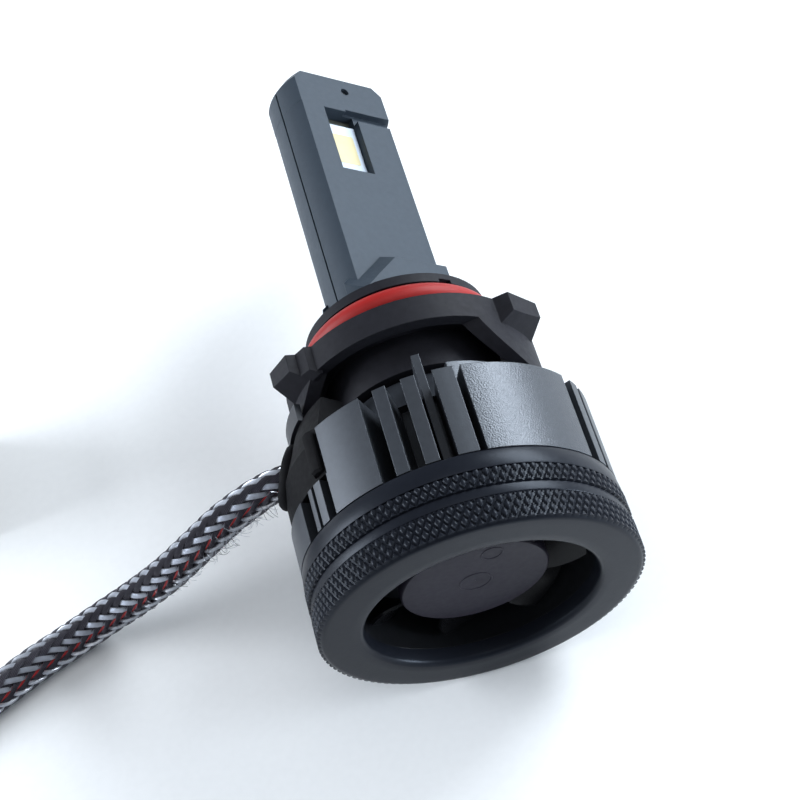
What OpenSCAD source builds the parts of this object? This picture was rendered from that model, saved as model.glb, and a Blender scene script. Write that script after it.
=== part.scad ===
// Headlight bulb with light-emitting diodes: a fan-cooled lamp for a three-lug holder.
// The bulb lies on its side. Its axis is Y, with the lamp tip at +Y and the fan at -Y.
// The origin is on the axis, at the front face of the pilot flange.

/* [Rear cap] */
// Outer diameter of the knurled rear cap
cap_d = 36; // [35.8:0.1:37]
// Length of the rear cap along the axis
cap_len = 8.5; // [8:0.1:8.5]
// Diameter of the air intake in the cap's face
intake_d = 25.8; // [24:0.1:26]
// Thickness of the cap's face
cap_face_t = 2; // [1.6:0.1:2]

/* [Heatsink] */
// Outer diameter of the finned body
sink_d = 35.6; // [35:0.1:35.8]
// Width of a wide cooling slot
slot_w = 1.7; // [1.2:0.1:1.9]
// Width of a narrow cooling slot
thin_slot_w = 0.8; // [0.5:0.1:1]
// Diameter of the solid core that the slots stop at
core_d = 22.8; // [22.6:0.1:23]
// Diameter of the neck that the collar turns on
neck_d = 16.4; // [16.3:0.1:16.6]

/* [Collar] */
// Diameter of the pilot flange that fits the lamp housing
pilot_d = 21.8; // [21.4:0.1:22]
// Diameter of the lug ring
ring_d = 29; // [28.6:0.1:29.2]
// Turn of the three lugs about the axis
lug_turn = 0; // [-5:1:5]

/* [Stem] */
// Diameter of the two-half stem
stem_d = 14.5; // [14.3:0.1:14.6]
// Distance from the axis to each flat face of the stem
flat_h = 3.5; // [3.4:0.1:3.8]
// Length of the stem in front of the pilot flange
stem_len = 38.3; // [37:0.1:40]
// Turn of the stem's flat faces about the axis
stem_turn = 41; // [0:1:60]

/* [Lead] */
// Diameter of the braided lead
lead_d = 4.4; // [4:0.1:4.6]

/* [Hidden] */
$fn = 96;
eps = 0.01;
far = 60;                 // longer than any cut needs

// Stations along the axis, from the rear face to the tip
rear_y = -36.7;
cap_front_y = rear_y + cap_len;
sink_front_y = -17.7;
ring_rear_y = -9;
ring_front_y = -5.8;
skirt_rear_y = -12.2;
groove_front_y = -1.2;
neck_front_y = -0.2;
cone_front_y = -12.6;
fin_front_y = -13.4;

cap_r = cap_d / 2;
sink_r = sink_d / 2;
core_r = core_d / 2;
neck_r = neck_d / 2;
stem_r = stem_d / 2;
ring_r = ring_d / 2;
pilot_r = pilot_d / 2;
cap_bore_r = 16.2;
spigot_y = cap_front_y - 4;
cavity_r = core_r - 0.6;
cavity_front_y = -20.2;
collar_bore_r = neck_r + 0.05;
groove_r = 9;
rim_t = 1.5;

// Cooling slots: [angle about the axis, width]. The lower half repeats the upper one.
SLOTS = [
    [18.6, thin_slot_w], [27.8, slot_w], [75, thin_slot_w], [86.5, slot_w + 0.2], [97.2, slot_w],
    [107.4, slot_w], [132.3, 1.2], [138.9, 0.5], [145.3, slot_w + 0.3]
];
// Angles of the fins that stand up from the core towards the collar
TALL_FINS = [86.5, 266.5];

// Outlines of the lugs as [radius, angle]. The second lug has a step beside it.
PLAIN_LUG = [[14, 13], [16.8, 20], [16.1, 36.6], [14, 41]];
STEPPED_LUG = [[14, 130.5], [15.2, 133], [15.4, 138.5], [16.5, 139.7], [17, 151.6], [14, 157]];
lug_t = 1.9;
lug_root_t = 3.8;
lug_front_y = ring_front_y + 0.1;

// Grub screw that locks the collar
grub_angle = 262;
grub_y = -10.4;
grub_r = 0.8;

// Fan stations
frame_rear_y = rear_y + cap_face_t + 0.05;
frame_front_y = cap_front_y - 0.1;
hub_rear_y = rear_y + 3.1;
hub_front_y = -29.6;
strut_rear_y = -29.2;
hub_r = 8.25;
blade_tip_r = 12.6;
BLADES = 7;

// Stem stations
stem_rear_y = -17.2;
seam_gap = 0.24;
foot_rear_y = 0.1;
foot_front_y = 8.3;
foot_h = 4.9;
hole_x = 0.9;
hole_y = 36.3;
screw_r = 0.55;
channel_h = 1.65;
board_t = 0.8;
core_h = 0.8;
core_w = 8.4;
pocket_rear_y = 22.3;
pocket_front_y = 32.9;
led_rear_y = 22.9;
led_len = 8;
led_w = 3.8;
led_mid = -0.55;
led_top_h = 2.4;

// Driver, gland and lead
board_rear_y = -26.6;
board_front_y = -25.4;
wire_x = -8.8;
wire_start_x = -14.8;
wire_r = 0.6;
gland_y = -16.3;
gland_z = 2.9;
gland_face_x = -15.2;
gland_rear_y = -23.1;
gland_nose_y = -18.5;
gland_front_y = -12.8;
gland_r = 17.5;
floor_z = -cap_r;
lead_r = lead_d / 2;
lead_z = floor_z + lead_r;
plug_x = -82;
plug_y = 8;
plug_z = floor_z + 4.4;
sleeve_len = 8;
LEAD_ROUTE = [
    [gland_face_x, gland_y, gland_z],
    [-18.4, -16.4, 2.4], [-21.6, -16.7, 1.2], [-25.2, -17, -0.9],
    [-29.2, -17.4, -3.9], [-33.5, -17.5, -7.5],
    [-38, -17.1, -11.2], [-43, -17, -14.2], [-48, -17.8, lead_z], [-53, -19.5, lead_z],
    [-58, -21.6, lead_z], [-64, -23.8, lead_z], [-71, -25.4, lead_z], [-78, -26, lead_z],
    [-86, -26, lead_z], [-93, -24.8, lead_z], [-99, -21.2, lead_z], [-103, -15.6, lead_z],
    [-104.4, -9, lead_z], [-103, -2.4, lead_z], [-99, 3.2, lead_z + 0.3], [-93, 6.8, lead_z + 1.1],
    [-86, 8, plug_z - 0.1], [plug_x, plug_y, plug_z]
];

// ---- Shared shapes ----

// Places a shape drawn at +X at an angle about the axis, from +X towards +Z
module at_angle(a) { rotate([0, -a, 0]) children(); }

// Turns a shape drawn along Z so that it runs along +Y from a station
module along_axis(y) { translate([0, y, 0]) rotate([-90, 0, 0]) children(); }

// Turns a shape drawn along Z so that it runs along +X from a point
module along_x(start) { translate(start) rotate([0, 90, 0]) children(); }

// Frame of the stem: local Z points out of its front flat, local X runs across that flat
module stem_frame() { rotate([0, stem_turn, 0]) children(); }

// The stem's rear half mirrors its front half across the seam
module rear_frame() { stem_frame() mirror([0, 0, 1]) children(); }

module tube(r_out, r_in, y0, y1) {
    along_axis(y0) difference() {
        cylinder(r = r_out, h = y1 - y0);
        translate([0, 0, -1]) cylinder(r = r_in, h = y1 - y0 + 2);
    }
}

module rod(r, y0, y1) { along_axis(y0) cylinder(r = r, h = y1 - y0); }

// Ring segment between two angles about the axis
module segment(r_out, r_in, y0, y1, a0, a1) {
    along_axis(y0) rotate([0, 0, -a1]) rotate_extrude(angle = a1 - a0)
        translate([r_in, 0]) square([r_out - r_in, y1 - y0]);
}

// Box given by its low and high corners
module block(low, high) { translate(low) cube(high - low); }

// ---- Rear cap and heatsink ----

module rear_cap() {
    band_r = cap_r - 0.25;
    color([0.55, 0.56, 0.6]) along_axis(rear_y) rotate_extrude() polygon([
        [intake_d / 2 + 0.5, 0], [cap_r - 0.4, 0], [cap_r, 0.4], [cap_r, 3.1], [band_r, 3.3],
        [band_r, 4.25], [cap_r, 4.45], [cap_r, 6.3], [cap_r - 0.05, 6.5], [cap_r - 0.2, cap_len],
        [cap_bore_r, cap_len], [cap_bore_r, cap_face_t], [intake_d / 2, cap_face_t],
        [intake_d / 2, 0.5]
    ]);
}

module cooling_slots() {
    for (half = [0, 180], s = SLOTS)
        at_angle(s[0] + half) block([core_r, cap_front_y - eps, -s[1] / 2], [far, far, s[1] / 2]);
}

module tall_fins() {
    for (a = TALL_FINS)
        at_angle(a) block([core_r - 0.3, cap_front_y, -0.45], [core_r + 3.4, fin_front_y, 0.45]);
}

module heatsink() {
    color([0.5, 0.53, 0.58]) difference() {
        union() {
            difference() {
                rod(sink_r, cap_front_y, sink_front_y);
                cooling_slots();
            }
            tube(cap_bore_r, 14.6, spigot_y, cap_front_y + eps);
            along_axis(sink_front_y - eps) cylinder(r1 = 12.8, r2 = 9.4, h = cone_front_y - sink_front_y);
            rod(neck_r, sink_front_y, neck_front_y);
            tall_fins();
            segment(12.6, 8.5, sink_front_y - eps, -13.6, 31, 72);
            segment(12.6, 8.5, sink_front_y - eps, -13.6, 211, 252);
        }
        rod(cavity_r, cap_front_y - 1, cavity_front_y);
        rod(stem_r, stem_rear_y, 1);
        stem_frame() block([-core_w / 2, -21, -core_h], [core_w / 2, -17, core_h]);
        gland_cutout();
        wire_passage();
    }
    color([0.5, 0.53, 0.58]) at_board_holes() {
        rod(0.9, board_front_y, cavity_front_y + eps);
        rod(0.5, board_rear_y - 0.3, board_front_y + eps);
    }
}

// Passage for the supply wires, from the gland to the driver's cavity
module wire_passage() {
    along_x([-13, gland_y, gland_z]) cylinder(r = 1.6, h = wire_x + 13);
    translate([wire_x, 0, gland_z]) rod(1.6, cavity_front_y - 1, gland_y);
    translate([wire_x, gland_y, gland_z]) sphere(r = 1.6);
}

module gland_cutout() { segment(far, 12, gland_rear_y - 0.2, 0, 129.8, 199); }

// ---- Stem ----

// Round bar of one half. Its tip stands out on one side, and the screw's hole is off the middle.
module stem_blank() {
    tip_r = stem_r + 0.16;
    chamfer_y = pocket_front_y + 4.1;
    difference() {
        union() {
            rod(stem_r, stem_rear_y, pocket_front_y + 1);
            translate([0.14, 0, 0]) rotate([-90, 0, 0]) rotate_extrude() polygon([
                [0, pocket_front_y], [tip_r, pocket_front_y], [tip_r, chamfer_y],
                [tip_r - 1, stem_len], [0, stem_len]
            ]);
        }
        block([-core_w / 2 - 0.05, stem_rear_y - 1, -channel_h], [core_w / 2 + 0.05, 34.3, channel_h]);
        translate([hole_x, hole_y, -far / 2]) cylinder(r = screw_r, h = far);
    }
}

// Flat face in front of the collar, with the window that the diodes shine from
module face_cut() {
    block([-far, foot_rear_y, flat_h], [far, far, far]);
    block([-3.2, pocket_rear_y, -eps], [1.45, pocket_front_y - 0.3, far]);
    block([0, pocket_front_y - 1.6, flat_h - 0.9], [far, pocket_front_y, far]);
}

// Raised pad at the stem's foot, with a slanted flank and a slanted end
module foot() {
    intersection() {
        rod(neck_r - 0.1, foot_rear_y - 0.1, foot_front_y + 2);
        block([-far, -far, flat_h - 1], [far, far, foot_h]);
        translate([-2, foot_front_y, flat_h]) rotate([0, 0, 45]) rotate([45, 0, 0])
            block([-far, -far, -far], [far, 0, far]);
        translate([0, foot_front_y, flat_h]) rotate([34, 0, 0]) block([-far, -far, -far], [far, 0, far]);
    }
}

module stem_half() {
    difference() {
        intersection() {
            stem_blank();
            block([-far, -far, seam_gap / 2], [far, far, far]);
        }
        face_cut();
    }
    foot();
}

module stem_front_half() { color([0.58, 0.61, 0.66]) stem_frame() stem_half(); }
module stem_rear_half() { color([0.6, 0.63, 0.69]) rear_frame() stem_half(); }

module heat_core() {
    color([0.72, 0.45, 0.3]) stem_frame()
        block([-core_w / 2, -20.1, -core_h], [core_w / 2, 34.2, core_h]);
}

module led_board() { block([-3.6, -15, core_h], [2.6, 34, core_h + board_t]); }
module led_board_front() { color([0.9, 0.9, 0.88]) stem_frame() led_board(); }
module led_board_rear() { color([0.9, 0.9, 0.88]) rear_frame() led_board(); }

module led_chip() {
    block(
        [led_mid - led_w / 2, led_rear_y, core_h + board_t],
        [led_mid + led_w / 2, led_rear_y + led_len, led_top_h]
    );
}

module led_front() { color([0.97, 0.95, 0.8]) stem_frame() led_chip(); }
module led_rear() { color([0.97, 0.95, 0.8]) rear_frame() led_chip(); }

module tip_screw() {
    color([0.3, 0.3, 0.33]) stem_frame() translate([hole_x, hole_y, -2.9]) cylinder(r = screw_r, h = 5.8);
}

// ---- Collar ----

module collar_profile() {
    polygon([
        [collar_bore_r, skirt_rear_y], [10.4, skirt_rear_y], [10.4, -7.6], [ring_r - rim_t, -7.6],
        [ring_r - rim_t, ring_rear_y], [ring_r, ring_rear_y], [ring_r, ring_front_y],
        [groove_r, ring_front_y], [groove_r, groove_front_y], [pilot_r, groove_front_y],
        [pilot_r, 0], [collar_bore_r, 0]
    ]);
}

// A rounded wing of the ring's wall that reaches back towards the heatsink
module skirt_wing(a, wing_rear_y, wing_r) {
    intersection() {
        tube(ring_r, ring_r - rim_t, wing_rear_y, ring_rear_y + eps);
        at_angle(a) translate([0, wing_rear_y + wing_r - 0.1, 0]) rotate([0, 90, 0])
            cylinder(r = wing_r, h = far);
    }
}

// A lug with a sloping underside
module lug(outline, turn) {
    root_y = lug_front_y - lug_root_t;
    intersection() {
        translate([0, root_y, 0]) rotate([-90, 0, 0]) linear_extrude(lug_root_t)
            polygon([for (p = outline) p[0] * [cos(p[1] + turn), -sin(p[1] + turn)]]);
        rotate([-90, 0, 0]) rotate_extrude() polygon([
            [13, lug_front_y + 1], [18, lug_front_y + 1], [18, lug_front_y - lug_t],
            [17, lug_front_y - lug_t], [14.2, root_y + 0.1], [13, root_y + 0.1]
        ]);
    }
}

module collar() {
    color([0.24, 0.24, 0.26]) difference() {
        union() {
            rotate([-90, 0, 0]) rotate_extrude() collar_profile();
            skirt_wing(16, -14.4, 9.5);
            skirt_wing(169, skirt_rear_y, 11);
            lug(PLAIN_LUG, lug_turn);
            lug(STEPPED_LUG, lug_turn);
            lug(PLAIN_LUG, lug_turn + 240);
        }
        at_angle(51) block([pilot_r - 0.7, groove_front_y - 1, -0.8], [far, groove_front_y + 0.45, 0.8]);
        at_angle(grub_angle) along_x([0, grub_y, 0]) cylinder(r = grub_r, h = 12);
    }
}

module o_ring() {
    color([0.78, 0.2, 0.16]) translate([0, -2.75, 0]) rotate([-89.5, 0, 0])
        rotate_extrude() translate([10.42, 0]) circle(r = 1.4, $fn = 48);
}

module grub_screw() {
    color([0.2, 0.2, 0.22]) at_angle(grub_angle) along_x([neck_r + 0.3, grub_y, 0]) difference() {
        cylinder(r = grub_r, h = 1.9);
        translate([0, 0, 1.1]) cylinder(r = 0.4, h = 1, $fn = 6);
    }
}

// ---- Fan ----

module fan_frame() {
    color([0.1, 0.1, 0.11]) {
        tube(14.5, 13, frame_rear_y, frame_front_y);
        for (k = [0, 1, 2])
            at_angle(40 + 120 * k) block([4, strut_rear_y, -0.8], [13.4, strut_rear_y + 0.8, 0.8]);
        rod(5.4, strut_rear_y, strut_rear_y + 0.8);
        tube(2, 1.4, -32.5, strut_rear_y + eps);
    }
}

module fan_blade(a) {
    intersection() {
        at_angle(a) translate([0, (hub_rear_y + hub_front_y) / 2, 0]) rotate([52, 0, 0])
            block([hub_r - 0.4, -3.2, -0.3], [far, 3.2, 0.3]);
        tube(blade_tip_r, 5, hub_rear_y + 0.2, hub_front_y - 0.1);
    }
}

module fan_rotor() {
    color([0.16, 0.15, 0.17]) {
        difference() {
            union() {
                rod(hub_r, hub_rear_y, hub_front_y);
                for (k = [0:BLADES - 1]) fan_blade(12 + 360 * k / BLADES);
            }
            rod(7.4, hub_rear_y + 0.7, hub_front_y + 1);
            rod(0.75, hub_rear_y + 0.3, hub_rear_y + 2);
        }
    }
}

module rotor_magnet() {
    color([0.3, 0.3, 0.32]) tube(7.4, 6.3, hub_rear_y + 0.7, hub_front_y - 0.3);
}

module fan_shaft() {
    color([0.8, 0.8, 0.82]) rod(0.75, hub_rear_y + 0.3, strut_rear_y - 0.4);
}

module fan_bearing() {
    color([0.7, 0.55, 0.3]) tube(1.4, 0.8, -32.4, strut_rear_y - 0.2);
}

module fan_stator() {
    color([0.7, 0.4, 0.2]) difference() {
        union() {
            tube(3.1, 2, -32.3, -30);
            for (k = [0:3]) at_angle(45 + 90 * k) block([2.6, -31.8, -1], [5.2, -30.4, 1]);
            for (k = [0:3]) segment(5.9, 5, -32.1, -30.1, 13 + 90 * k, 77 + 90 * k);
        }
        rod(2, -34, -28);
    }
}

module fan_board() { color([0.1, 0.3, 0.18]) tube(5.1, 2, -29.9, strut_rear_y); }

// ---- Driver ----

module at_board_holes() { for (a = [60, 180, 300]) at_angle(a) translate([8.6, 0, 0]) children(); }

module driver_board() {
    color([0.08, 0.28, 0.16]) difference() {
        rod(9.8, board_rear_y, board_front_y);
        at_board_holes() rod(0.55, board_rear_y - 1, board_front_y + 1);
    }
}

module driver_coil() {
    color([0.25, 0.25, 0.27]) translate([-3.6, 0, -3.8]) tube(3, 1, board_front_y, board_front_y + 3.4);
}

module driver_chip() {
    color([0.12, 0.12, 0.13]) block([1.2, board_front_y, -1], [5.4, board_front_y + 1.4, 4]);
}

module driver_capacitor() {
    color([0.75, 0.75, 0.78]) translate([4.6, 0, -4]) rod(2, board_front_y, board_front_y + 4);
}

module supply_wires() {
    color([0.75, 0.1, 0.1]) for (z = [gland_z - 0.8, gland_z + 0.8]) {
        along_x([wire_start_x, gland_y, z]) cylinder(r = wire_r, h = wire_x - wire_start_x);
        translate([wire_x, gland_y, z]) sphere(r = wire_r);
        translate([wire_x, 0, z]) rod(wire_r, board_front_y, gland_y);
    }
}

// ---- Gland, lead and plug ----

// Rubber block in the heatsink's cutout, with a sloping nose and a recess that the lead enters
module cable_gland() {
    color([0.13, 0.13, 0.14]) difference() {
        intersection() {
            segment(gland_r, 12.2, gland_rear_y, gland_front_y, 131, 198);
            union() {
                rod(gland_r, gland_rear_y, gland_nose_y);
                along_axis(gland_nose_y - eps)
                    cylinder(r1 = gland_r, r2 = 15.1, h = gland_front_y - gland_nose_y + 0.1);
            }
        }
        along_x([-far, gland_y, gland_z]) cylinder(r = lead_r + 0.7, h = far + gland_face_x);
        along_x([gland_face_x - eps, gland_y, gland_z]) cylinder(r = 1.5, h = 5);
    }
}

module gland_clamp() {
    color([0.55, 0.57, 0.62]) segment(15.6, 14.9, gland_front_y, -10.6, 148, 172);
}

function unit(v) = v / norm(v);
function last(v) = v[len(v) - 1];
function heading(p, i) = unit(p[min(i + 1, len(p) - 1)] - p[max(i - 1, 0)]);
function side_of(d) = unit(cross(d, [0.12, 0.05, 1]));
function lead_ring(p, i, r, n) = let(d = heading(p, i), s = side_of(d), t = cross(s, d))
    [for (k = [0:n - 1]) p[i] + r * (cos(360 * k / n) * s + sin(360 * k / n) * t)];

// A round cord swept through a list of points
module cord(p, r, n) {
    rings = len(p);
    points = [for (i = [0:rings - 1]) each lead_ring(p, i, r, n)];
    sides = [for (i = [0:rings - 2], k = [0:n - 1])
        [i * n + k, (i + 1) * n + k, (i + 1) * n + (k + 1) % n, i * n + (k + 1) % n]];
    first_cap = [for (k = [0:n - 1]) k];
    last_cap = [for (k = [0:n - 1]) (rings - 1) * n + n - 1 - k];
    polyhedron(points, concat([first_cap], sides, [last_cap]));
}

module lead() { color([0.08, 0.08, 0.09]) cord(LEAD_ROUTE, lead_r, 10); }

// The plug lies on the floor with its mouth towards +X, from the end of its sleeve
module at_plug() { translate([plug_x + sleeve_len, plug_y, floor_z]) children(); }

// Tapered strain relief with rings
module plug_sleeve() {
    color([0.07, 0.07, 0.08]) along_x([plug_x, plug_y, plug_z]) {
        cylinder(r1 = lead_r + 0.2, r2 = 3.4, h = sleeve_len);
        for (x = [1.2, 3.4, 5.6]) translate([0, 0, x]) cylinder(r = 3 + x / 8, h = 1);
    }
}

module plug_body() {
    color([0.1, 0.1, 0.11]) at_plug() difference() {
        union() {
            block([0, -6.5, 0], [4, 6.5, 9]);
            block([3.9, -7.5, 0], [17, 7.5, 10.6]);
            block([5, -2.2, 10.5], [15, 2.2, 12]);
        }
        block([6, -6, 1.4], [18, 6, 9.2]);
    }
}

module plug_seal() {
    color([0.78, 0.3, 0.12]) at_plug() difference() {
        block([6, -6, 1.4], [8, 6, 9.2]);
        block([5, -4.6, 2.7], [9, 4.6, 7.9]);
    }
}

module plug_pins() {
    color([0.85, 0.75, 0.45]) at_plug() for (y = [-2.6, 2.6])
        block([6, y - 0.9, 4.9], [14, y + 0.9, 5.7]);
}

rear_cap();
heatsink();
stem_front_half();
stem_rear_half();
heat_core();
led_board_front();
led_board_rear();
led_front();
led_rear();
tip_screw();
collar();
o_ring();
grub_screw();
fan_frame();
fan_rotor();
rotor_magnet();
fan_shaft();
fan_bearing();
fan_stator();
fan_board();
driver_board();
driver_coil();
driver_chip();
driver_capacitor();
supply_wires();
cable_gland();
gland_clamp();
lead();
plug_sleeve();
plug_body();
plug_seal();
plug_pins();
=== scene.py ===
"""Headlight bulb with diodes, lying on its side. Metres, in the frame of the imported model."""
import math
import random

import bmesh
import bpy
import numpy as np
from mathutils import Matrix, Vector


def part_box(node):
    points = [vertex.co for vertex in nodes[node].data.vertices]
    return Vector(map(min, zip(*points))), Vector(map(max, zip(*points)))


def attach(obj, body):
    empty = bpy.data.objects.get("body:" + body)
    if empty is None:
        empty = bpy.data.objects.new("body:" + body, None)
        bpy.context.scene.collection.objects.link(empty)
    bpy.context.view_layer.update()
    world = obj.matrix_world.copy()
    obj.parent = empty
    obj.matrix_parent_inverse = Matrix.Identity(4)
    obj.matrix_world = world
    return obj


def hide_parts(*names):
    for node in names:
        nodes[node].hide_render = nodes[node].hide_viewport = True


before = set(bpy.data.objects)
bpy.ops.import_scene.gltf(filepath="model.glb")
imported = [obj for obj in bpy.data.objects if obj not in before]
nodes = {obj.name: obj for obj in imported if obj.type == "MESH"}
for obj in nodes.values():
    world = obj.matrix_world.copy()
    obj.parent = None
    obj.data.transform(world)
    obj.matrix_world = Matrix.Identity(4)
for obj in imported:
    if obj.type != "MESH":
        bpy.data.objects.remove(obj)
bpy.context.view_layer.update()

MM = 0.001
TURN = 2 * math.pi
random.seed(7)

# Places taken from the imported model
cap_low, cap_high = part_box("rear_cap")
rear_y, cap_front_y = cap_low[1], cap_high[1]
cap_r = cap_high[0]
floor_z = cap_low[2]
rotor_low, rotor_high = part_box("fan_rotor")


# ---- Meshes ----

def make_piece(name, points, faces, body, materials, sharp=35):
    """A mesh piece that rides on a body, smooth except at edges sharper than the angle."""
    mesh = bpy.data.meshes.new(name)
    mesh.from_pydata([tuple(p) for p in points], [], faces)
    work = bmesh.new()
    work.from_mesh(mesh)
    bmesh.ops.recalc_face_normals(work, faces=work.faces)
    work.to_mesh(mesh)
    work.free()
    for one in materials:
        mesh.materials.append(one)
    mesh.shade_smooth()
    mesh.set_sharp_from_angle(angle=math.radians(sharp))
    piece = bpy.data.objects.new(name, mesh)
    bpy.context.scene.collection.objects.link(piece)
    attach(piece, body)
    return piece


def grid_faces(rows, columns, start=0, close_rows=False, close_columns=True):
    """Quads between rows of points, numbered row by row."""
    faces = []
    for i in range(rows if close_rows else rows - 1):
        for j in range(columns if close_columns else columns - 1):
            a, b = i * columns, (i + 1) % rows * columns
            k = (j + 1) % columns
            faces.append([start + a + j, start + a + k, start + b + k, start + b + j])
    return faces


def polar(r, angle, y):
    """A point at an angle about the axis, from +X towards +Z."""
    return (r * math.cos(angle), y, r * math.sin(angle))


def revolve(profile, columns):
    """Points and faces of a closed profile of (radius, y) turned about the axis."""
    points = [polar(r, TURN * j / columns, y) for r, y in profile for j in range(columns)]
    return points, grid_faces(len(profile), columns, close_rows=True)


# ---- Materials ----

def new_material(name):
    material = bpy.data.materials.new(name)
    material.use_nodes = True
    return material, material.node_tree, material.node_tree.nodes["Principled BSDF"]


def add_noise(tree, scale, detail=3.0):
    """Noise in the object's own space, with its scale given in cycles per metre."""
    place = tree.nodes.new("ShaderNodeTexCoord")
    noise = tree.nodes.new("ShaderNodeTexNoise")
    noise.inputs["Scale"].default_value = scale
    noise.inputs["Detail"].default_value = detail
    tree.links.new(place.outputs["Object"], noise.inputs["Vector"])
    return noise.outputs["Fac"]


def add_ramp(tree, source, low, high, start=0.3, end=0.7):
    """A ramp between two colours, or two grey levels."""
    ramp = tree.nodes.new("ShaderNodeValToRGB")
    for stop, place, value in zip(ramp.color_ramp.elements, (start, end), (low, high)):
        stop.position = place
        stop.color = (*value, 1) if isinstance(value, tuple) else (value, value, value, 1)
    tree.links.new(source, ramp.inputs["Fac"])
    return ramp.outputs["Color"]


def add_bump(tree, height, depth, below=None):
    bump = tree.nodes.new("ShaderNodeBump")
    bump.inputs["Strength"].default_value = 1.0
    bump.inputs["Distance"].default_value = depth
    tree.links.new(height, bump.inputs["Height"])
    if below is not None:
        tree.links.new(below, bump.inputs["Normal"])
    return bump.outputs["Normal"]


def add_rounding(tree, radius):
    """Catches light along the edges of a part as a small radius would."""
    bevel = tree.nodes.new("ShaderNodeBevel")
    bevel.samples = 6
    bevel.inputs["Radius"].default_value = radius
    return bevel.outputs["Normal"]


PATCH_SCALE = 1100     # cycles per metre of the uneven colour
GLOSS_SCALE = 1600     # and of the uneven gloss


def surface(name, color, roughness, metallic=0.0, grain=2500, depth=4e-6, vary=0.12, edge=0.12 * MM,
            coat=0.0, specular=0.5, tint=(1, 1, 1)):
    """A cast, moulded or anodised surface: uneven colour, uneven gloss and a fine grain."""
    material, tree, shader = new_material(name)
    dark = tuple(c * (1 - vary) for c in color)
    light = tuple(min(1.0, c * (1 + vary)) for c in color)
    tree.links.new(add_ramp(tree, add_noise(tree, PATCH_SCALE), dark, light), shader.inputs["Base Color"])
    rough = add_ramp(tree, add_noise(tree, GLOSS_SCALE), roughness * 0.93, min(1.0, roughness * 1.07))
    tree.links.new(rough, shader.inputs["Roughness"])
    rounded = add_rounding(tree, edge) if edge else None
    tree.links.new(add_bump(tree, add_noise(tree, grain, 2.0), depth, rounded), shader.inputs["Normal"])
    shader.inputs["Metallic"].default_value = metallic
    shader.inputs["Coat Weight"].default_value = coat
    shader.inputs["Specular IOR Level"].default_value = specular
    shader.inputs["Specular Tint"].default_value = (*tint, 1)
    return material


STEEL_BLUE = (0.03, 0.041, 0.056)
BLACK = (0.008, 0.0085, 0.01)
PANEL_ANGLE = math.radians(51.5)   # where the middle of the pebbly panel lies round the axis
PANEL_START = 15.9 * MM            # how far out along that direction the pebbles begin
PANEL_FULL = 16.7 * MM             # and how far out they are at their deepest
PEBBLE_SCALE = 5600
PEBBLE_DEPTH = 4e-5


def paint_nodes():
    """Every CAD node that stays gets its material."""
    stem = surface("stem_anodised", STEEL_BLUE, 0.5, 0.1, grain=5200, depth=5e-6, vary=0.04, specular=0.22)
    collar = surface("collar_blasted", (0.012, 0.012, 0.016), 0.6, grain=7000, depth=8e-6, specular=0.13)
    rubber = surface("gland_rubber", (0.004, 0.004, 0.005), 0.7, grain=3000, depth=8e-6, specular=0.08)
    board = surface("board_green", (0.02, 0.11, 0.05), 0.35, coat=0.3, edge=0)
    steel = surface("screw_steel", (0.45, 0.46, 0.48), 0.32, 1.0, edge=0.05 * MM)
    copper = surface("copper", (0.72, 0.36, 0.2), 0.35, 1.0, edge=0.05 * MM)
    plastic = surface("plug_plastic", (0.02, 0.02, 0.022), 0.48, grain=4500, depth=7e-6, edge=0.3 * MM)
    brass = surface("pin_brass", (0.75, 0.58, 0.28), 0.3, 1.0, edge=0.1 * MM)
    finishes = {
        "heatsink": cast_metal(),
        "stem_front_half": stem,
        "stem_rear_half": stem,
        "heat_core": copper,
        # The diode boards' dark grey-green is partly their own colour and partly painted shade for the
        # shadow beside and above the diodes.
        "led_board_front": surface("led_board", (0.05, 0.056, 0.045), 0.4, coat=0.3, edge=0),
        "tip_screw": steel,
        "collar": collar,
        "o_ring": surface("seal_red", (0.27, 0.009, 0.008), 0.5, grain=900, depth=6e-6, vary=0.05,
                          edge=0, specular=0.25),
        "grub_screw": steel,
        "fan_frame": surface("fan_plastic", BLACK, 0.3, specular=0.2),
        "rotor_magnet": surface("ferrite", (0.1, 0.1, 0.11), 0.7, edge=0),
        "fan_shaft": steel,
        "fan_bearing": brass,
        "fan_stator": copper,
        "fan_board": board,
        "driver_board": board,
        "driver_coil": surface("coil_core", (0.07, 0.07, 0.075), 0.6),
        "driver_chip": surface("chip_black", BLACK, 0.5),
        "driver_capacitor": surface("can", (0.6, 0.6, 0.62), 0.3, 1.0),
        "supply_wires": surface("wire_red", (0.5, 0.02, 0.02), 0.4, edge=0),
        "cable_gland": rubber,
        "gland_clamp": surface("clamp_metal", (0.018, 0.0205, 0.027), 0.4, 0.4),
        "plug_sleeve": rubber,
        "plug_body": plastic,
        "plug_seal": surface("plug_seal_rubber", (0.6, 0.13, 0.03), 0.5, edge=0.1 * MM),
        "plug_pins": brass,
    }
    finishes["led_board_rear"] = finishes["led_board_front"]
    for name, material in finishes.items():
        mesh = nodes[name].data
        mesh.materials.clear()
        mesh.materials.append(material)


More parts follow.
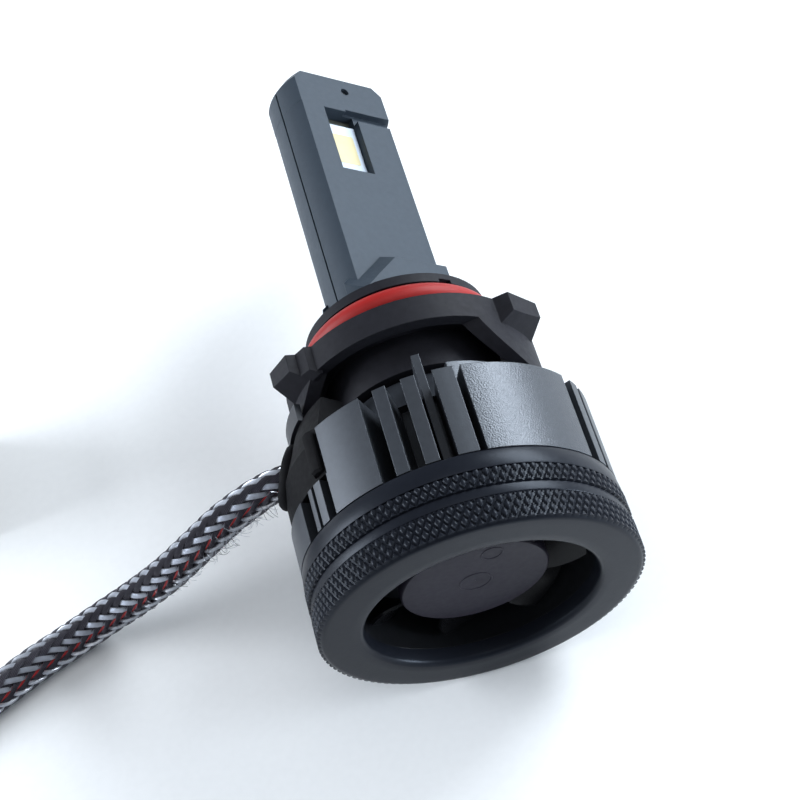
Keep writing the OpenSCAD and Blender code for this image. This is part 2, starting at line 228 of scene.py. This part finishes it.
def cast_metal():
    """Satin gunmetal, with the pebbly skin of casting on the broad panel beside the fins."""
    material, tree, shader = new_material("heatsink_cast")
    tree.links.new(add_ramp(tree, add_noise(tree, 1500), (0.041, 0.046, 0.056), (0.047, 0.053, 0.064)),
                   shader.inputs["Base Color"])
    place = tree.nodes.new("ShaderNodeTexCoord")
    panel = tree.nodes.new("ShaderNodeVectorMath")
    panel.operation = "DOT_PRODUCT"
    panel.inputs[1].default_value = (math.cos(PANEL_ANGLE), 0, math.sin(PANEL_ANGLE))
    mask = tree.nodes.new("ShaderNodeMapRange")
    mask.inputs["From Min"].default_value = PANEL_START
    mask.inputs["From Max"].default_value = PANEL_FULL
    mask.inputs["To Min"].default_value = 0.12
    pebbles = tree.nodes.new("ShaderNodeMath")
    pebbles.operation = "MULTIPLY"
    tree.links.new(place.outputs["Object"], panel.inputs[0])
    tree.links.new(panel.outputs["Value"], mask.inputs["Value"])
    tree.links.new(add_noise(tree, PEBBLE_SCALE, 1.0), pebbles.inputs[0])
    tree.links.new(mask.outputs["Result"], pebbles.inputs[1])
    tree.links.new(add_ramp(tree, mask.outputs["Result"], 0.42, 0.34), shader.inputs["Roughness"])
    fine = add_bump(tree, add_noise(tree, 9000, 2.0), 3e-6, add_rounding(tree, 0.12 * MM))
    tree.links.new(add_bump(tree, pebbles.outputs["Value"], PEBBLE_DEPTH, fine), shader.inputs["Normal"])
    shader.inputs["Metallic"].default_value = 0.5
    return material


# ---- Diodes ----

STEM_TURN = math.radians(41)   # the stem's flats are turned about the axis
PAD_CORNER = 0.3 * MM
PAD_SIDES = 24                 # points round a pad
PAD_EASE = 0.06 * MM           # how far a pad's top edge draws in
PAD_EASE_H = 0.02 * MM


def build_phosphor():
    """The yellow pad on each diode, inside a pale border."""
    ceramic = surface("diode_ceramic", (0.45, 0.52, 0.62), 0.5, grain=4000, depth=6e-6, vary=0.02,
                      edge=0.1 * MM)
    yellow = surface("phosphor", (0.52, 0.46, 0.27), 0.55, grain=6000, depth=1e-5, vary=0.03, edge=0)
    low_y, high_y, base, top = 24.4 * MM, 29.3 * MM, 2.38 * MM, 2.45 * MM
    left, right = -2.35 * MM, 0.7 * MM
    turn = Matrix.Rotation(STEM_TURN, 4, "Y")
    for name, side in (("front", 1), ("rear", -1)):
        place = turn @ Matrix.Scale(side, 4, (0, 0, 1))
        points = []
        for h, inset in ((base, 0), (top - PAD_EASE_H, 0), (top, PAD_EASE)):
            r = PAD_CORNER - inset
            for i in range(PAD_SIDES):
                a = TURN * (i + 0.5) / PAD_SIDES
                cx, cy = math.copysign(1, math.cos(a)), math.copysign(1, math.sin(a))
                u = (left + right) / 2 + cx * ((right - left) / 2 - PAD_CORNER) + r * math.cos(a)
                y = (low_y + high_y) / 2 + cy * ((high_y - low_y) / 2 - PAD_CORNER) + r * math.sin(a)
                points.append(place @ Vector((u, y, h)))
        faces = grid_faces(3, PAD_SIDES)
        faces += [list(range(PAD_SIDES)), list(range(2 * PAD_SIDES, 3 * PAD_SIDES))]
        pad = make_piece("phosphor_" + name, points, faces, "lamp", [yellow])
        mesh = nodes["led_" + name].data
        mesh.materials.clear()
        mesh.materials.append(ceramic)


# ---- Rear cap with its knurl ----

KNURL_TURNS = 110             # diamonds round the cap
KNURL_STEPS = 8               # points across a diamond, each way
KNURL_ROW = 1.6 * MM / KNURL_STEPS
KNURL_DEPTH = 0.3 * MM


def groove(x):
    """Depth of one family of grooves, from 0 on the diamonds to 1 in the groove."""
    return max(0.0, (2 * abs(x % 1 - 0.5) - 0.5) / 0.5)


def knurled_band(start_y, rows):
    """Rows of (radius of the peaks, y, phase of the knurl)."""
    return [(cap_r, start_y + i * KNURL_ROW, i / KNURL_STEPS) for i in range(rows)]


def build_rear_cap():
    """The turned cap: its face, two knurled bands with a plain one between, and its bore."""
    def plain(*points):
        return [(r, rear_y + y * MM, None) for r, y in points]

    bore_r, lip_r, band_r = 16.2 * MM, 12.9 * MM, cap_r - 0.25 * MM
    cap_len = (cap_front_y - rear_y) / MM
    rows = plain((lip_r, 1.9), (lip_r, 0.6), (lip_r + 0.1 * MM, 0.3), (lip_r + 0.3 * MM, 0.08),
                 (lip_r + 0.6 * MM, 0), (14.5 * MM, 0), (16 * MM, 0), (cap_r - 0.9 * MM, 0),
                 (cap_r - 0.6 * MM, 0.02), (cap_r - 0.42 * MM, 0.1), (cap_r - 0.34 * MM, 0.22))
    rows += knurled_band(rear_y + 0.3 * MM, 15)
    rows += plain((cap_r - 0.36 * MM, 3.2), (band_r - 0.02 * MM, 3.25), (band_r, 3.35), (band_r, 4.2),
                  (band_r - 0.02 * MM, 4.32), (cap_r - 0.36 * MM, 4.38))
    rows += knurled_band(rear_y + 4.45 * MM, 10)
    rows += plain((cap_r - 0.34 * MM, 6.3), (cap_r - 0.07 * MM, 6.36), (cap_r - 0.04 * MM, 6.5),
                  (cap_r - 0.12 * MM, 7.5), (cap_r - 0.2 * MM, cap_len - 0.25),
                  (cap_r - 0.27 * MM, cap_len - 0.08), (cap_r - 0.4 * MM, cap_len), (bore_r, cap_len),
                  (bore_r, 5), (bore_r, 2), (lip_r, 2))
    columns = KNURL_TURNS * KNURL_STEPS
    points = []
    for r, y, phase in rows:
        for j in range(columns):
            drop = 0.0
            if phase is not None:
                across = j / KNURL_STEPS
                drop = KNURL_DEPTH * max(groove(across + phase), groove(across - phase))
            points.append(polar(r - drop, TURN * j / columns, y))
    faces = grid_faces(len(rows), columns, close_rows=True)
    skin = surface("cap_anodised", (0.0085, 0.0098, 0.0142), 0.32, grain=6000, depth=5e-6, vary=0.05,
                   edge=0, specular=0.13, tint=(0.76, 0.85, 1))
    piece = make_piece("knurled_cap", points, faces, "lamp", [skin], sharp=50)
    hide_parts("rear_cap")


# ---- Fan rotor ----

BLADES = 7
BLADE_START = -20              # degrees, where the first blade's root begins
BLADE_SWEEP = 30               # degrees a blade turns along its height
BLADE_CAMBER = 5               # degrees it bulges at half height
BLADE_LEAN = 9                 # degrees its tip trails its root
BLADE_HALF = 0.16 * MM         # half its thickness
HUB_R = 8.25 * MM
HUB_WALL_R = 7.4 * MM          # inside of the hub's skirt
BLADE_TIP_R = 12.5 * MM


def blade_points(start, r_in, r_out, y0, y1):
    """A cambered blade: two skins of points, and the faces between them."""
    across, along = 6, 8
    points = []
    for side in (-1, 1):
        for i in range(along):
            t = i / (along - 1)
            for j in range(across):
                s = j / (across - 1)
                r = r_in + (r_out - r_in) * s
                camber = BLADE_CAMBER * math.sin(math.pi * t)
                sweep = math.radians(BLADE_SWEEP * t + camber + BLADE_LEAN * s * s)
                lift = side * BLADE_HALF * (1 - 0.5 * t)
                points.append(polar(r, start + sweep - lift * 0.8 / r, y0 + (y1 - y0) * t + lift * 0.6))
    count = across * along
    faces = grid_faces(along, across, 0, close_columns=False)
    faces += grid_faces(along, across, count, close_columns=False)
    rim = [j for j in range(across)] + [i * across + across - 1 for i in range(1, along)]
    rim += [count - 1 - j for j in range(1, across)] + [i * across for i in range(along - 2, 0, -1)]
    for a, b in zip(rim, rim[1:] + rim[:1]):
        faces.append([a, b, b + count, a + count])
    return points, faces


def ring_mark(centre_r, angle, radius, y):
    """A small raised moulding ring on the hub's face."""
    rings, sides, wire = 40, 6, 0.07 * MM
    cx, cz = centre_r * math.cos(angle), centre_r * math.sin(angle)
    points = []
    for i in range(rings):
        turn = TURN * i / rings
        for j in range(sides):
            tip = TURN * j / sides
            r = radius + wire * 2 * math.cos(tip)
            points.append((cx + r * math.cos(turn), y + wire * math.sin(tip), cz + r * math.sin(turn)))
    return points, grid_faces(rings, sides, close_rows=True)


def build_rotor():
    """The hub with its two moulding rings, and the blades round it."""
    y0, y1 = rotor_low[1], rotor_high[1]
    profile = [(0.9 * MM, y0 + 0.03 * MM), (1.1 * MM, y0), (5 * MM, y0), (HUB_R - 0.5 * MM, y0),
               (HUB_R - 0.2 * MM, y0 + 0.06 * MM), (HUB_R - 0.05 * MM, y0 + 0.22 * MM),
               (HUB_R, y0 + 0.5 * MM), (HUB_R, y1), (HUB_WALL_R, y1), (HUB_WALL_R, y0 + 0.7 * MM),
               (0.75 * MM, y0 + 0.7 * MM), (0.75 * MM, y0 + 0.3 * MM), (0.3 * MM, y0 + 0.16 * MM),
               (0.02 * MM, y0 + 0.1 * MM)]
    points, faces = revolve(profile, 128)
    hub = make_piece("rotor_hub", points, faces, "rotor",
                     [surface("hub_plastic", (0.016, 0.014, 0.024), 0.5, grain=5200, depth=6e-6, vary=0.05,
                              edge=0, specular=0.2)])
    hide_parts("fan_rotor")
    points, faces = [], []
    for k in range(BLADES):
        start = math.radians(BLADE_START + 360 * k / BLADES)
        more, skins = blade_points(start, HUB_R - 0.1 * MM, BLADE_TIP_R, y0 + 0.35 * MM, y1 - 0.15 * MM)
        faces += [[i + len(points) for i in face] for face in skins]
        points += more
    blades = make_piece("rotor_blades", points, faces, "rotor",
                        [surface("blade_plastic", (0.004, 0.004, 0.005), 0.25, grain=900, depth=3e-6,
                                 edge=0, specular=0.15)])
    points, faces = [], []
    for centre_r, angle, radius in ((0, 0, 1.75 * MM), (5.8 * MM, math.radians(65), 1.15 * MM)):
        more, skins = ring_mark(centre_r, angle, radius, y0)
        faces += [[i + len(points) for i in face] for face in skins]
        points += more
    marks = make_piece("rotor_marks", points, faces, "rotor", [hub.data.materials[0]])


# ---- Braided lead ----

LEAD_R = 2.2 * MM
LEAD_ROUTE = [(x * MM, y * MM, z * MM) for x, y, z in [
    (-15.2, -16.3, 2.9), (-18.4, -16.4, 2.4), (-21.6, -16.7, 1.2), (-25.2, -17, -0.9),
    (-29.2, -17.4, -3.9), (-33.5, -17.5, -7.5), (-38, -17.1, -11.2), (-43, -17, -14.2),
    (-48, -17.8, -15.8), (-53, -19.5, -15.8), (-58, -21.6, -15.8), (-64, -23.8, -15.8),
    (-71, -25.4, -15.8), (-78, -26, -15.8), (-86, -26, -15.8), (-93, -24.8, -15.8),
    (-99, -21.2, -15.8), (-103, -15.6, -15.8), (-104.4, -9, -15.8), (-103, -2.4, -15.8),
    (-99, 3.2, -15.5), (-93, 6.8, -14.7), (-86, 8, -13.7), (-82, 8, -13.6)
]]
CARRIERS = 12                 # tows each way round
BRAID_PITCH = 25 * MM
BRAID_TURN = math.radians(-39.5)
BRAID_DRAW = 0.55 * MM        # how much thinner the braid is at the gland
BRAID_DRAW_LEN = 5 * MM       # and how soon it is full again
TOW_THICK = 0.16 * MM
FILAMENTS = 5                 # that show across a tow
FILAMENT_RIDGE = 0.13 * MM
RED_ANGLE = math.radians(-62)  # where the red conductor shows between the tows
RED_R = 0.45 * MM
FRAYS = 130
FRAY_R = 0.028 * MM


def smooth_path(route, step):
    """Evenly spaced points on a smooth curve through the route."""
    ends = [2 * Vector(route[0]) - Vector(route[1]), 2 * Vector(route[-1]) - Vector(route[-2])]
    knots = [ends[0], *map(Vector, route), ends[1]]
    dense = []
    for a, b, c, d in zip(knots, knots[1:], knots[2:], knots[3:]):
        for i in range(40):
            t = i / 40
            dense.append(0.5 * (2 * b + (c - a) * t + (2 * a - 5 * b + 4 * c - d) * t * t
                                + (3 * b - a - 3 * c + d) * t ** 3))
    dense.append(knots[-2])
    dense = np.array(dense)
    run = np.concatenate([[0], np.cumsum(np.linalg.norm(np.diff(dense, axis=0), axis=1))])
    count = max(2, round(run[-1] / step)) + 1
    even = np.linspace(0, run[-1], count)
    return np.stack([np.interp(even, run, dense[:, k]) for k in range(3)], axis=1), even


class LeadFrame:
    """Points on and round the lead's centreline, with a frame that doesn't twist."""

    def __init__(self, route):
        self.points, self.run = smooth_path(route, 0.25 * MM)
        self.length = self.run[-1]
        ahead = np.gradient(self.points, axis=0)
        self.ahead = ahead / np.linalg.norm(ahead, axis=1)[:, None]
        up = Vector((0, 0, 1))
        ups = []
        for heading in self.ahead:
            heading = Vector(heading)
            up = (up - heading * up.dot(heading)).normalized()
            ups.append(up.copy())
        self.up = np.array(ups)
        self.side = np.cross(self.ahead, self.up)

    def at(self, run, angle, radius):
        """Points at distances along the lead and angles round it, from up towards the side."""
        run = np.clip(run, 0, self.length)
        pick = [np.stack([np.interp(run, self.run, a[:, k]) for k in range(3)], axis=-1)
                for a in (self.points, self.up, self.side)]
        out = np.cos(angle)[..., None] * pick[1] + np.sin(angle)[..., None] * pick[2]
        return pick[0] + radius[..., None] * out


def braid_radius(run):
    """The braid is drawn tight where it enters the gland."""
    return LEAD_R - BRAID_DRAW * np.exp(-run / BRAID_DRAW_LEN)


def tow_rings(lead, family, carrier):
    """Rings of points along one tow: a flat bundle of filaments, over two and under two."""
    rings = round(lead.length / (0.5 * MM)) + 1
    run = np.linspace(0, lead.length, rings)[:, None]
    width = 0.66 * MM if family > 0 else 0.9 * MM
    top = np.linspace(-1, 1, 2 * FILAMENTS + 1)
    ridge = np.where(np.arange(top.size) % 2 == 1, FILAMENT_RIDGE, 0.0)
    across = np.concatenate([top, [0.8, -0.8]])
    height = np.concatenate([ridge + 0.06 * MM * (1 - top ** 2), [-TOW_THICK, -TOW_THICK]])
    angle = BRAID_TURN + TURN * (carrier / CARRIERS + family * run / BRAID_PITCH)
    count = 2 * carrier + family * 2 * CARRIERS * run / BRAID_PITCH
    over = np.clip(1.7 * family * np.cos(TURN * (count - 0.5) / 4), -1, 1)
    away = (angle - RED_ANGLE + math.pi) % TURN - math.pi
    near_red = np.exp(-(away / 0.3) ** 2)
    width = width * (1 - 0.42 * near_red)
    outer = braid_radius(run)
    middle = outer - 0.32 * MM + 0.14 * MM * over
    if family > 0:
        middle = middle - 0.3 * MM * near_red
    slant = math.atan(TURN * LEAD_R / BRAID_PITCH)
    shift = across * width / 2
    place = run - family * shift * math.sin(slant)
    place = np.clip(place, 0, lead.length)
    return lead.at(place, angle + shift * math.cos(slant) / middle, middle + height + 0 * place)


def tube_faces(rings, sides, start):
    """Faces of a tube whose two ends are closed."""
    faces = grid_faces(rings, sides, start)
    faces.append([start + j for j in range(sides)][::-1])
    faces.append([start + (rings - 1) * sides + j for j in range(sides)])
    return faces


def join_rings(parts):
    """One list of points and faces from closed tubes, with the material index of each face."""
    points, faces, slots = [], [], []
    for rings, slot in parts:
        more = tube_faces(rings.shape[0], rings.shape[1], len(points))
        points += rings.reshape(-1, 3).tolist()
        faces += more
        slots += [slot] * len(more)
    return points, faces, slots


def build_lead():
    """The braided lead over its core and red conductor."""
    lead = LeadFrame(LEAD_ROUTE)
    silver = surface("tow_silver", (0.55, 0.57, 0.62), 0.3, 0.6, grain=9000, depth=1e-5, vary=0.05, edge=0)
    black = surface("tow_black", (0.055, 0.052, 0.066), 0.4, 0.1, grain=9000, depth=1e-5, edge=0)
    inner = surface("lead_inner", (0.008, 0.008, 0.009), 0.7, edge=0)
    red = surface("conductor_red", (0.55, 0.03, 0.03), 0.4, edge=0)
    run = np.linspace(0, lead.length, 280)[:, None]
    turn = np.linspace(0, TURN, 16, endpoint=False)[None, :]
    core = lead.at(run + 0 * turn, turn + 0 * run, braid_radius(run) - 0.55 * MM + 0 * turn)
    parts = [(core, 2)]
    ring = np.linspace(0, TURN, 8, endpoint=False)[None, :]
    wire_at = braid_radius(run) - 0.8 * MM
    wire = lead.at(run + 0 * ring, RED_ANGLE + RED_R * np.sin(ring) / wire_at,
                   wire_at + RED_R * np.cos(ring))
    parts.append((wire, 3))
    for carrier in range(CARRIERS):
        parts.append((tow_rings(lead, 1, carrier), 0))
        parts.append((tow_rings(lead, -1, carrier), 1))
    points, faces, slots = join_rings(parts)
    piece = make_piece("braided_lead", points, faces, "lamp", [silver, black, inner, red], sharp=60)
    piece.data.polygons.foreach_set("material_index", slots)
    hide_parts("lead")
    frays = build_frays(lead, [silver, black])


def build_frays(lead, materials):
    """Broken filaments that stand out of the braid near the gland."""
    parts = []
    for _ in range(FRAYS):
        run = random.triangular(3, 34, 9) * MM
        angle = math.radians(random.gauss(-104, 22))
        reach = random.uniform(0.5, 1.9) * MM * (1.3 - run / (30 * MM))
        lean, curl = random.uniform(-1.2, 0.5), random.uniform(-1.4, 1.4)
        steps = np.linspace(0, 1, 7)
        spine = lead.at(run + reach * lean * steps, angle + curl * steps ** 2 * 0.4,
                        braid_radius(run) - 0.2 * MM + reach * steps * (1 - 0.25 * steps))
        corners = ((1, 0, 0.4), (-0.6, 0.8, 0), (-0.4, -0.8, -0.4))
        ring = [spine + FRAY_R * np.array(d) for d in corners]
        parts.append((np.stack(ring, axis=1), random.choice((0, 0, 1))))
    points, faces, slots = join_rings(parts)
    piece = make_piece("lead_frays", points, faces, "lamp", materials)
    piece.data.polygons.foreach_set("material_index", slots)
    return piece


def build_gland_trim():
    """The rubber's rounded lip round the lead, and its rib along the heatsink's edge."""
    points, sides, rings = [], 12, 48
    lip_r, lip_half, lip_depth = 3, 0.75, 0.8
    centre = Vector((-16.1 * MM, -16.3 * MM, 2.9 * MM))
    tilt = Matrix.Rotation(math.radians(-23), 3, "Z") @ Matrix.Rotation(math.radians(8), 3, "Y")
    for i in range(rings):
        turn = TURN * i / rings
        for j in range(sides):
            tip = TURN * j / sides
            r = (lip_r + lip_half * math.cos(tip) + 0.05 * math.sin(5 * turn)) * MM
            spot = Vector((lip_depth * MM * math.sin(tip), r * math.cos(turn), r * math.sin(turn)))
            points.append(centre + tilt @ spot)
    faces = grid_faces(rings, sides, close_rows=True)
    start, stations = len(points), (-22.7, -22.4, -21, -18.2, -17.7, -17.5)
    for k, y in enumerate(stations):
        shrink = (0.25, 0, 0, 0, 0.1, 0.4)[k]
        for r, a in ((17, 131), (17, 137), (17.7, 137), (18.25, 135.6), (18.35, 133.4), (18.1, 131.6)):
            points.append(polar((r - shrink * (r > 17.2)) * MM, math.radians(a), y * MM))
    faces += tube_faces(len(stations), 6, start)
    trim = make_piece("gland_trim", points, faces, "lamp", [nodes["cable_gland"].data.materials[0]])


# ---- Camera, lights and floor ----

CAMERA_PLACE = (-1.96 * MM, -111.8 * MM, 164.8 * MM)
CAMERA_ELEVATION = math.radians(58.05)
CAMERA_ROLL = math.radians(-17.3)
LIGHT_AIM = (0, -0.005, 0)
FLOOR_REACH = 1.5


def add_camera():
    """The bulb is seen from behind and above, with the camera rolled clockwise."""
    data = bpy.data.cameras.new("camera")
    data.lens = 76.5
    camera = bpy.data.objects.new("camera", data)
    tilt = Matrix.Rotation(math.pi / 2 - CAMERA_ELEVATION, 4, "X")
    turn = tilt @ Matrix.Rotation(CAMERA_ROLL, 4, "Z")
    camera.matrix_world = Matrix.Translation(CAMERA_PLACE) @ turn
    bpy.context.scene.collection.objects.link(camera)
    bpy.context.scene.camera = camera


def add_light(name, place, size, watts, color=(1, 1, 1)):
    """A soft rectangular light, turned towards the bulb."""
    data = bpy.data.lights.new(name, "AREA")
    data.shape = "RECTANGLE"
    data.size, data.size_y = size
    data.energy = watts
    data.color = color
    light = bpy.data.objects.new(name, data)
    light.location = place
    light.rotation_euler = (Vector(LIGHT_AIM) - Vector(place)).to_track_quat("-Z", "Y").to_euler()
    bpy.context.scene.collection.objects.link(light)


def add_studio():
    """A sky that is bright at both sides and dim above, four soft lights and a plain floor."""
    world = bpy.data.worlds.new("studio")
    world.use_nodes = True
    tree = world.node_tree
    sky = tree.nodes["Background"]
    sky.inputs["Color"].default_value = (0.84, 0.92, 1.0, 1)
    place = tree.nodes.new("ShaderNodeTexCoord")
    split = tree.nodes.new("ShaderNodeSeparateXYZ")
    across = tree.nodes.new("ShaderNodeMath")
    across.operation = "POWER"
    across.inputs[1].default_value = 2
    level = tree.nodes.new("ShaderNodeMapRange")
    level.inputs["To Min"].default_value = 0.2
    level.inputs["To Max"].default_value = 1.15
    tree.links.new(place.outputs["Generated"], split.inputs["Vector"])
    tree.links.new(split.outputs["X"], across.inputs[0])
    tree.links.new(across.outputs["Value"], level.inputs["Value"])
    tree.links.new(level.outputs["Result"], sky.inputs["Strength"])
    bpy.context.scene.world = world
    bpy.context.scene.view_settings.view_transform = "Standard"
    add_light("key", (0.34, 0.22, 0.22), (0.26, 0.2), 3.0, (0.88, 0.95, 1.0))
    add_light("side", (0.19, -0.07, 0.01), (0.06, 0.06), 0.35, (0.8, 0.9, 1.0))
    add_light("top", (0.05, -0.05, 0.5), (0.35, 0.35), 0.5)
    add_light("left", (-0.42, 0.06, 0.12), (0.25, 0.2), 2.2, (0.88, 0.94, 1.0))
    mesh = bpy.data.meshes.new("floor")
    signs = ((-1, -1), (1, -1), (1, 1), (-1, 1))
    mesh.from_pydata([(x * FLOOR_REACH, y * FLOOR_REACH, floor_z) for x, y in signs], [], [(0, 1, 2, 3)])
    mesh.materials.append(surface("floor_paper", (0.9, 0.905, 0.915), 0.9, vary=0.01, edge=0))
    floor = bpy.data.objects.new("floor", mesh)
    bpy.context.scene.collection.objects.link(floor)


add_camera()
build_lead()
build_rear_cap()
build_rotor()
build_phosphor()
paint_nodes()
build_gland_trim()
add_studio()
